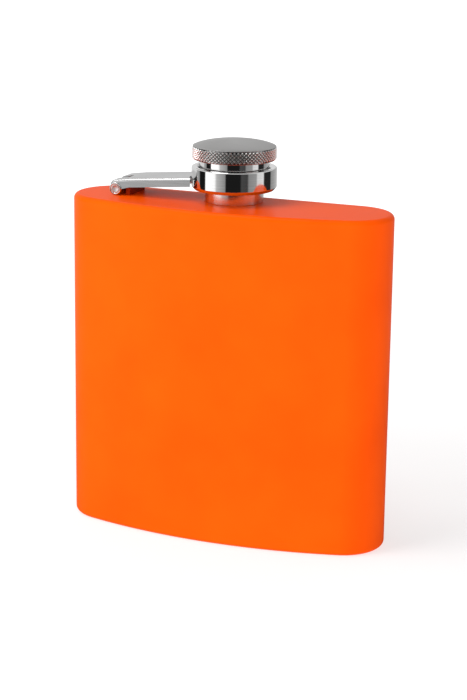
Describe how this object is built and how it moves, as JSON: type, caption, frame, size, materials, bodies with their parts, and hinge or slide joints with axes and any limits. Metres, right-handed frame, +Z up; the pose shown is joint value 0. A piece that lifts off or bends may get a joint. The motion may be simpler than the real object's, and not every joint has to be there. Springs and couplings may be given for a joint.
{
  "type": "hip flask",
  "caption": "Slim flat-backed metal hip flask with a hinged lid arm and a captive knurled screw cap.",
  "frame": {"origin": "on the table, under the middle of the body's width and depth", "axes": "+Z up along the neck, +X along the width away from the hinge, -Y out of the bowed front, +Y out of the flat back"},
  "size_m": [0.095, 0.0315, 0.113],
  "materials": {
    "painted_body": "satin",
    "polished_steel": "polished",
    "pin_steel": "satin",
    "arm_steel": "brushed",
    "cap_steel": "brushed",
    "seal_plastic": "matte"
  },
  "bodies": {
    "flask": {"body_shell": "painted_body", "top_plate": "painted_body", "bottom_plate": "painted_body", "neck": "polished_steel", "hinge_bracket": "painted_body", "hinge_pin": "pin_steel"},
    "arm": {"lid_arm": "arm_steel", "pivot_pin": "pin_steel"},
    "collar": {"collar_ring": "polished_steel"},
    "retainer": {"snap_ring": "pin_steel"},
    "cap": {"cap_skirt": "polished_steel", "cap_seal": "seal_plastic", "cap_head": "cap_steel"}
  },
  "joints": [
    {"name": "lid_arm_hinge", "type": "hinge", "parent": "flask", "child": "arm", "pos_m": [-0.0337, 0.00475, 0.09755], "axis": [0, -1, 0], "range_deg": [0, 90]},
    {"name": "collar_pivot", "type": "hinge", "parent": "arm", "child": "collar", "pos_m": [-0.0126, 0.00475, 0.10055], "axis": [0, -1, 0], "range_deg": [0, 12]},
    {"name": "cap_slide", "type": "slide", "parent": "collar", "child": "retainer", "axis": [0, 0, 1], "range_m": [-0.00191, 0]},
    {"name": "cap_turn", "type": "hinge", "parent": "retainer", "child": "cap", "pos_m": [0, 0.00475, 0.1037], "axis": [0, 0, 1], "range_deg": [-684, 0]}
  ],
  "couplings": [
    {"joint": "cap_slide", "follows": "cap_turn", "m_per_rad": 0.00015915}
  ]
}
